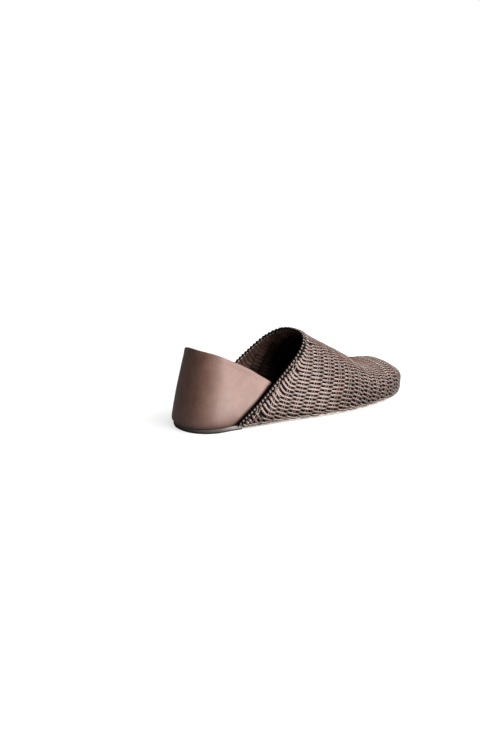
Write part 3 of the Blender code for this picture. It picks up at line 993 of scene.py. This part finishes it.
def ranged(tree, value, to_min, to_max, from_min=0.0, from_max=1.0, smooth=False):
    """Output of a node that carries a value from one range to another."""
    node = tree.nodes.new("ShaderNodeMapRange")
    if smooth:
        node.interpolation_type = "SMOOTHSTEP"
    feed(tree, node, {"Value": value, "From Min": from_min, "From Max": from_max,
                      "To Min": to_min, "To Max": to_max})
    return node.outputs["Result"]


def mixed(tree, factor, a, b):
    """Output of a node that mixes two colours."""
    node = tree.nodes.new("ShaderNodeMix")
    node.data_type = "RGBA"
    feed(tree, node, {"Factor": factor, "A": a, "B": b})
    return node.outputs["Result"]


def combined(tree, operation, *values):
    """Output of a node that works out one number from others."""
    node = tree.nodes.new("ShaderNodeMath")
    node.operation = operation
    feed(tree, node, dict(enumerate(values)))
    return node.outputs[0]


def read_layer(tree, name):
    """Output of a node that reads a number kept on the points."""
    node = tree.nodes.new("ShaderNodeAttribute")
    node.attribute_name = name
    return node.outputs["Fac"]


# %% [markdown]
# Every finish here is leather of one sort or another, so its fine grain is one node group: pebbles
# from a cell texture, roughened by noise, read from Object coordinates. It gives a height for bump and
# a slow tone for the colour, and each material sets its own scale.

# %% Grain group
GRAIN_DETAIL, TONE_DETAIL = 6.0, 3.0
PEBBLE_SHARE = 0.6


def make_grain_group():
    group = bpy.data.node_groups.new("hide_grain", "ShaderNodeTree")
    for way, names in (("INPUT", ("Scale", "Tone Scale")), ("OUTPUT", ("Height", "Tone"))):
        for name in names:
            group.interface.new_socket(name, in_out=way, socket_type="NodeSocketFloat")
    given = group.nodes.new("NodeGroupInput").outputs
    put = group.nodes.new("NodeGroupOutput")
    place = group.nodes.new("ShaderNodeTexCoord").outputs["Object"]
    cells = group.nodes.new("ShaderNodeTexVoronoi")
    cells.feature = "SMOOTH_F1"
    noise = group.nodes.new("ShaderNodeTexNoise")
    slow = group.nodes.new("ShaderNodeTexNoise")
    feed(group, cells, {"Vector": place, "Scale": given["Scale"]})
    feed(group, noise, {"Vector": place, "Scale": given["Scale"], "Detail": GRAIN_DETAIL})
    feed(group, slow, {"Vector": place, "Scale": given["Tone Scale"], "Detail": TONE_DETAIL})
    pebbles = cells.outputs["Distance"]
    height = combined(group, "MULTIPLY_ADD", pebbles, PEBBLE_SHARE, noise.outputs["Fac"])
    feed(group, put, {"Height": height, "Tone": slow.outputs["Fac"]})
    return group


grain_group = make_grain_group()
print("made", grain_group.name)


# %% [markdown]
# A material mixes two near colours by the slow tone, bends the light with the grain, and sets its own
# gloss. Lift and insole need no more than that. The counter also reads how deep it lies in the shade of
# the rim, where painted shade makes it dark and it turns dull, and the sole's edge turns grey round the
# heel.

# %% Smooth finishes
TONE_RANGE = (0.3, 0.7)
BUMP_DEEP = 0.3
ROUGH_SPREAD = 0.06
COUNTER_DARK, COUNTER_LIGHT = (0.088, 0.042, 0.030, 1), (0.124, 0.060, 0.043, 1)
COUNTER_COAT, COUNTER_COAT_ROUGH, COUNTER_SPECULAR = 0.25, 0.45, 0.5
# Colour of the painted shade on the counter beside the rim.
PAINTED_SHADE = (0.004, 0.0022, 0.0016, 1)
LIFT_DARK, LIFT_LIGHT = (0.008, 0.008, 0.007, 1), (0.014, 0.013, 0.012, 1)
# Painted shade: the insole is near-black so that the inside of the shoe reads dark.
INSOLE_DARK, INSOLE_LIGHT = (0.010, 0.007, 0.005, 1), (0.016, 0.011, 0.008, 1)
SOLE_DARK, SOLE_LIGHT = (0.40, 0.345, 0.305, 1), (0.45, 0.395, 0.355, 1)
# The sole's edge is grey behind the first station and pale ahead of the second.
GREY_TO, PALE_FROM = -106.0, -70.0
HEEL_EDGE_GREY = (0.055, 0.048, 0.042, 1)


def new_material(name, grain_scale, tone_scale, bump, roughness=None):
    """Leather that still lacks its colour, with its tree, its shader and the output of its tone."""
    material = bpy.data.materials.new(name)
    material.use_nodes = True
    tree = material.node_tree
    shader = tree.nodes["Principled BSDF"]
    grain = tree.nodes.new("ShaderNodeGroup")
    grain.node_tree = grain_group
    tone = grain.outputs["Tone"]
    height = tree.nodes.new("ShaderNodeBump")
    feed(tree, grain, {"Scale": grain_scale, "Tone Scale": tone_scale})
    feed(tree, height, {"Strength": bump, "Distance": BUMP_DEEP * MM, "Height": grain.outputs["Height"]})
    feed(tree, shader, {"Normal": height.outputs["Normal"]})
    if roughness:
        rough = ranged(tree, tone, roughness - ROUGH_SPREAD, roughness + ROUGH_SPREAD)
        feed(tree, shader, {"Roughness": rough})
    return material, tree, shader, tone


def two_tone(tree, tone, dark, light):
    """Colour that wanders between two near ones with the slow tone."""
    return mixed(tree, ranged(tree, tone, 0.0, 1.0, *TONE_RANGE), dark, light)


def make_plain_finish(name, dark, light, **surface):
    material, tree, shader, tone = new_material(name, **surface)
    feed(tree, shader, {"Base Color": two_tone(tree, tone, dark, light)})
    return material


def make_counter_finish():
    """Smooth leather, with painted shade that makes it dark and dull where it slips under the rim."""
    material, tree, shader, tone = new_material(
        "counter_leather", grain_scale=900, tone_scale=110, bump=0.4, roughness=0.50)
    shade = read_layer(tree, "shade")
    hide = two_tone(tree, tone, COUNTER_DARK, COUNTER_LIGHT)
    feed(tree, shader, {
        "Base Color": mixed(tree, shade, hide, PAINTED_SHADE),
        "Coat Weight": ranged(tree, shade, COUNTER_COAT, 0.0),
        "Coat Roughness": COUNTER_COAT_ROUGH,
        "Specular IOR Level": ranged(tree, shade, COUNTER_SPECULAR, 0.0),
    })
    return material


def make_sole_finish():
    """Pale leather whose edge turns grey round the heel."""
    material, tree, shader, tone = new_material(
        "sole_leather", grain_scale=1200, tone_scale=90, bump=0.2, roughness=0.6)
    parts = tree.nodes.new("ShaderNodeSeparateXYZ")
    feed(tree, parts, {"Vector": tree.nodes.new("ShaderNodeTexCoord").outputs["Object"]})
    ahead = ranged(tree, parts.outputs["X"], 0.0, 1.0, GREY_TO * MM, PALE_FROM * MM, smooth=True)
    hide = two_tone(tree, tone, SOLE_DARK, SOLE_LIGHT)
    feed(tree, shader, {"Base Color": mixed(tree, ahead, HEEL_EDGE_GREY, hide)})
    return material


counter_finish = make_counter_finish()
lift_finish = make_plain_finish("lift_rubber", LIFT_DARK, LIFT_LIGHT,
                                grain_scale=2500, tone_scale=120, bump=0.25, roughness=0.6)
insole_finish = make_plain_finish("insole_leather", INSOLE_DARK, INSOLE_LIGHT,
                                  grain_scale=1400, tone_scale=60, bump=0.2, roughness=0.55)
sole_finish = make_sole_finish()
print("smooth finishes:", [m.name for m in (counter_finish, lift_finish, insole_finish, sole_finish)])


# %% [markdown]
# The cords read the tone of their strand and their painted light and shade, which mostly follow how far
# they stand out: high floats are painted lighter and made glossier than what lies under them, and the
# deep places are painted almost black as shade.

# %% Cord finish
# The first colour is painted shade, almost black, for the deep places of the weave.
CORD_PAINTED_SHADE, CORD_LIGHT = (0.003, 0.002, 0.0016, 1), (0.120, 0.070, 0.053, 1)
CORD_TONE = (0.28, 0.68)
STRAND_SHARE = 0.5
RAISED_RANGE = (0.2, 0.85)
DEEP_ROUGH, RAISED_ROUGH = 0.8, 0.3
CORD_SPECULAR, CORD_COAT_ROUGH, CORD_COAT_IOR = 0.1, 0.24, 1.6


def make_cord_finish():
    material, tree, shader, tone = new_material(
        "cord_leather", grain_scale=2200, tone_scale=140, bump=0.22)
    # The lift layer carries painted light and shade, set when the cords are made.
    raised = ranged(tree, read_layer(tree, "lift"), 0.0, 1.0, *RAISED_RANGE, smooth=True)
    slow = ranged(tree, tone, *CORD_TONE, *TONE_RANGE)
    strand = combined(tree, "MULTIPLY_ADD", read_layer(tree, "tone"), STRAND_SHARE, slow)
    painted_light_tone = combined(tree, "MULTIPLY", raised, strand)
    feed(tree, shader, {
        "Base Color": mixed(tree, painted_light_tone, CORD_PAINTED_SHADE, CORD_LIGHT),
        "Roughness": ranged(tree, raised, DEEP_ROUGH, RAISED_ROUGH),
        "Specular IOR Level": CORD_SPECULAR,
        "Coat Weight": raised,
        "Coat Roughness": CORD_COAT_ROUGH,
        "Coat IOR": CORD_COAT_IOR,
    })
    return material


cord_finish = make_cord_finish()
print("materials:", [m.name for m in bpy.data.materials if m.users])


# %% [markdown]
# Each piece now takes its finish, rides on the shoe's one body and hides the solid it stands for, if
# any.

# %% Dress the shoe
for piece, finish, slot, node in (
        (woven_rows, cord_finish, "cord", "vamp"),
        (stake_cords, cord_finish, "cord", None),
        (rim_rope, cord_finish, "braid", "collar_braid"),
        (rim_lacing, cord_finish, "braid", None),
        (heel_counter, counter_finish, "counter_leather", "heel_counter"),
        (outsole, sole_finish, "sole_leather", "outsole"),
        (heel_lift, lift_finish, "lift_rubber", "heel_lift"),
        (insole, insole_finish, "insole_leather", "insole")):
    piece.data.materials.clear()
    piece.data.materials.append(finish)
    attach(piece, "root")
    if node:
        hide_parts(node)


# %% [markdown]
# The shoe stands on a white floor that glows for the camera alone, nearly as bright as paper, so only
# a breath of shadow shows on it. A strong panel high on the outer side opens the top of the weave, a
# broad lower one models the counter, and weak ones stand towards the toe, behind the heel and on the
# inner side. Two cards just above the floor throw light up, as white paper does.

# %% Floor and light
FLOOR_HALF = 60.0
FLOOR_COLOUR = (0.20, 0.20, 0.197, 1)
FLOOR_ROUGH, FLOOR_SPECULAR = 0.9, 0.1
FLOOR_GLOW = (0.72, 1.05)
GLOW_REACH = (0.12, 0.55)
SKY_SEEN, SKY_FILL = 1.2, 0.06
CARD_DROP = 0.03
# Name, turn from the outer side towards the toe, rise, distance, width, height, power
PANELS = [
    ("low_panel", 60, 8, 1.5, 1.0, 0.4, 8),
    ("side_panel", 22, 12, 1.5, 1.0, 0.7, 19.5),
    ("heel_panel", -24, 12, 1.5, 1.0, 0.7, 2.5),
    ("top_panel", 30, 62, 1.5, 1.4, 1.0, 60),
    ("back_panel", 170, 25, 1.6, 1.2, 0.8, 2.5),
]
# Name, place along and across the shoe, width, depth, power
CARDS = [
    ("floor_card", 0.02, -0.30, 0.6, 0.4, 1.0),
    ("near_card", -0.05, -0.10, 0.14, 0.10, 0.25),
]


def seen_by_camera(tree, seen, unseen):
    """Value that differs between what the camera sees and what lights the shoe."""
    rays = tree.nodes.new("ShaderNodeLightPath")
    return ranged(tree, rays.outputs["Is Camera Ray"], unseen, seen)


def make_floor():
    bpy.ops.object.select_all(action="DESELECT")
    bpy.ops.mesh.primitive_plane_add(size=2 * FLOOR_HALF)
    floor = bpy.context.object
    floor.name = "floor"
    material = bpy.data.materials.new("floor_white")
    material.use_nodes = True
    tree = material.node_tree
    away = tree.nodes.new("ShaderNodeVectorMath")
    away.operation = "LENGTH"
    feed(tree, away, {0: tree.nodes.new("ShaderNodeTexCoord").outputs["Object"]})
    glow = ranged(tree, away.outputs["Value"], *FLOOR_GLOW, *GLOW_REACH, smooth=True)
    feed(tree, tree.nodes["Principled BSDF"], {
        "Base Color": FLOOR_COLOUR,
        "Roughness": FLOOR_ROUGH,
        "Specular IOR Level": FLOOR_SPECULAR,
        "Emission Color": glow,
        "Emission Strength": seen_by_camera(tree, 1.0, 0.0),
    })
    floor.data.materials.append(material)


def make_sky():
    world = bpy.data.worlds.new("studio")
    world.use_nodes = True
    tree = world.node_tree
    strength = seen_by_camera(tree, SKY_SEEN, SKY_FILL)
    feed(tree, tree.nodes["Background"], {"Color": (1, 1, 1, 1), "Strength": strength})
    bpy.context.scene.world = world


def add_panel(name, turn, rise, away, wide, high, power):
    """Soft light that faces the shoe."""
    way = direction(turn, rise)
    data = bpy.data.lights.new(name, "AREA")
    data.shape = "RECTANGLE"
    data.size = wide
    data.size_y = high
    data.energy = power
    lamp = bpy.data.objects.new(name, data)
    lamp.location = LOOK_AT + way * away
    lamp.rotation_euler = (-way).to_track_quat("-Z", "Y").to_euler()
    bpy.context.scene.collection.objects.link(lamp)
    return lamp


def add_card(name, x, y, wide, deep, power):
    """Upward glow just above the floor, which stands for the light that white paper throws back."""
    card = add_panel(name, 0, -90, CARD_DROP, wide, deep, power)
    card.location.x = x
    card.location.y = y
    card.visible_camera = False


make_floor()
make_sky()
for panel in PANELS:
    add_panel(*panel)
for card in CARDS:
    add_card(*card)
bpy.context.scene.view_settings.view_transform = "Standard"
